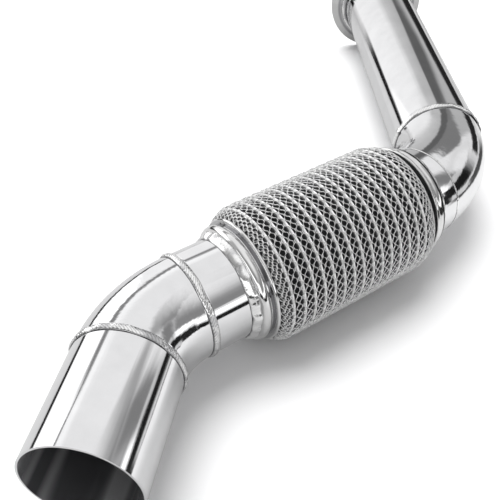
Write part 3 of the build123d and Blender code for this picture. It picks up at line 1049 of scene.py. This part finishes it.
def floor_disc(name, paint, height, radius, shades=None):
    """A round floor under the part."""
    columns, rows = 180, 40
    angle = np.linspace(0, 2 * np.pi, columns, endpoint=False)
    rings = np.linspace(0.001, radius, rows)
    x = TENT_CENTRE[0] + rings[:, None] * np.sin(angle)
    y = TENT_CENTRE[1] + rings[:, None] * np.cos(angle)
    points = np.stack([x, y, np.full_like(x, height)], -1).reshape(-1, 3)
    attributes = []
    if shades:
        attributes.append(("shade", shades(rings[:, None], np.degrees(angle)[None])))
    quads = grid_quads(rows, columns, False, True)[:, ::-1]
    disc = mesh_piece(name, points, quads, paint, attributes)
    return disc


def floor_shades(distance, azimuth):
    """How pale the reflected floor is at distances and directions from its middle."""
    right = ramp(azimuth, 40, 62) * ramp(-azimuth, -190, -120)
    left = ramp(azimuth, 200, 240)
    shade = 0.36 + 0.17 * right + 0.04 * left
    beyond = ramp(azimuth, 50, 62) * ramp(-azimuth, -108, -96) * ramp(distance, 0.31, 0.36)
    edge = ramp(distance, 0.45, REFLECTED_FLOOR_RADIUS)
    return shade * (1 - 0.25 * edge) * (1 - 0.92 * beyond)


def add_floors(settings):
    """The floor, and a second one for reflections that is paler on the right."""
    paint, tree, shader = matt_paint("floor_paint", 0.75)
    shader.inputs["Base Color"].default_value = (*settings.floor_colour, 1)
    hide_from(floor_disc("floor", paint, FLOOR_HEIGHT, settings.floor_radius), "glossy")

    paint, tree, shader = matt_paint("reflected_floor_paint", 0.8)
    shade = add_node(tree, "ShaderNodeAttribute", attribute_name="shade").outputs["Color"]
    tree.links.new(shade, shader.inputs["Base Color"])
    tree.links.new(shade, shader.inputs["Emission Color"])
    shader.inputs["Emission Strength"].default_value = 0.45
    reflected = floor_disc(
        "reflected_floor", paint, FLOOR_HEIGHT + 0.0004, REFLECTED_FLOOR_RADIUS, floor_shades
    )
    hide_from(reflected, "camera", "diffuse", "shadow")


def add_lights(scene, settings):
    """The broad key light, and a sky that is white behind the floor."""
    lamp = bpy.data.objects.new("key_light", bpy.data.lights.new("key_light", "SUN"))
    lamp.data.energy = settings.key
    lamp.data.angle = settings.key_width
    hide_from(lamp, "glossy")
    level = math.cos(settings.key_height)
    towards = Vector((
        math.sin(settings.key_azimuth) * level,
        math.cos(settings.key_azimuth) * level,
        math.sin(settings.key_height),
    ))
    lamp.matrix_world = towards.to_track_quat("Z", "Y").to_matrix().to_4x4()
    scene.collection.objects.link(lamp)

    scene.world = bpy.data.worlds.new("soft_sky")
    scene.world.use_nodes = True
    tree = scene.world.node_tree
    sky = tree.nodes["Background"]
    sky.inputs["Color"].default_value = (1, 1, 1, 1)
    ray = add_node(tree, "ShaderNodeLightPath")
    strength = spread(tree, ray.outputs["Is Camera Ray"], settings.sky, 1.0)
    tree.links.new(strength, sky.inputs["Strength"])


def add_camera(scene, settings):
    """The camera, which looks down along the part from its outlet."""
    camera = bpy.data.objects.new("camera", bpy.data.cameras.new("camera"))
    camera.data.sensor_width = 36
    camera.data.lens = settings.lens
    up = CAMERA_BACK.cross(CAMERA_RIGHT).normalized()
    turn = Matrix((up.cross(CAMERA_BACK), up, CAMERA_BACK)).transposed().to_4x4()
    camera.matrix_world = Matrix.Translation(Vector(settings.camera_place)) @ turn
    scene.collection.objects.link(camera)
    scene.camera = camera


class PreparedStudio(Operator):
    """Adds the pale floor, the soft light with its panels, and the camera"""

    bl_idname = "downpipe.studio"
    bl_label = "Add Studio"

    def execute(self, context):
        scene = context.scene
        settings = scene.downpipe_studio
        add_floors(settings)
        reflected_cloth("tent", TENT_CENTRE, TENT_RADIUS, TENT_PANELS, open_brightness, 1.0)
        reflected_cloth(
            "near_screen", SCREEN_CENTRE, SCREEN_RADIUS, SCREEN_PANELS, screen_ground, 0.0
        )
        add_lights(scene, settings)
        add_camera(scene, settings)
        scene.view_settings.view_transform = "Standard"
        return {"FINISHED"}


STEPS = (PreparedStudio, PolishedTubes, WeldBeads, CorrugatedBellows, KnittedSleeve)
GROUPS = {
    "downpipe_studio": StudioSettings,
    "downpipe_steel": SteelSettings,
    "downpipe_beads": BeadSettings,
    "downpipe_bellows": BellowsSettings,
    "downpipe_sleeve": SleeveSettings,
}


class DownpipePanel(Panel):
    """Lists the steps and the sizes of the downpipe."""

    bl_idname = "VIEW3D_PT_downpipe"
    bl_label = "Downpipe"
    bl_space_type = "VIEW_3D"
    bl_region_type = "UI"
    bl_category = "Downpipe"

    def draw(self, context):
        for step in STEPS:
            self.layout.operator(step.bl_idname)
        for attribute in GROUPS:
            group = getattr(context.scene, attribute)
            box = self.layout.box()
            for name in group.__annotations__:
                box.prop(group, name)


def register():
    """Registers the classes and gives the scene its settings."""
    for cls in (*GROUPS.values(), *STEPS, DownpipePanel):
        bpy.utils.register_class(cls)
    for attribute, group in GROUPS.items():
        setattr(bpy.types.Scene, attribute, PointerProperty(type=group))


def unregister():
    """Takes the settings and the classes away again."""
    for attribute in GROUPS:
        delattr(bpy.types.Scene, attribute)
    for cls in reversed((*GROUPS.values(), *STEPS, DownpipePanel)):
        bpy.utils.unregister_class(cls)


def main():
    """Builds the studio and every piece."""
    register()
    bpy.ops.downpipe.studio()
    bpy.ops.downpipe.polished_tubes()
    bpy.ops.downpipe.weld_beads()
    bpy.ops.downpipe.bellows()
    bpy.ops.downpipe.knitted_sleeve()


if __name__ == "__main__":
    main()
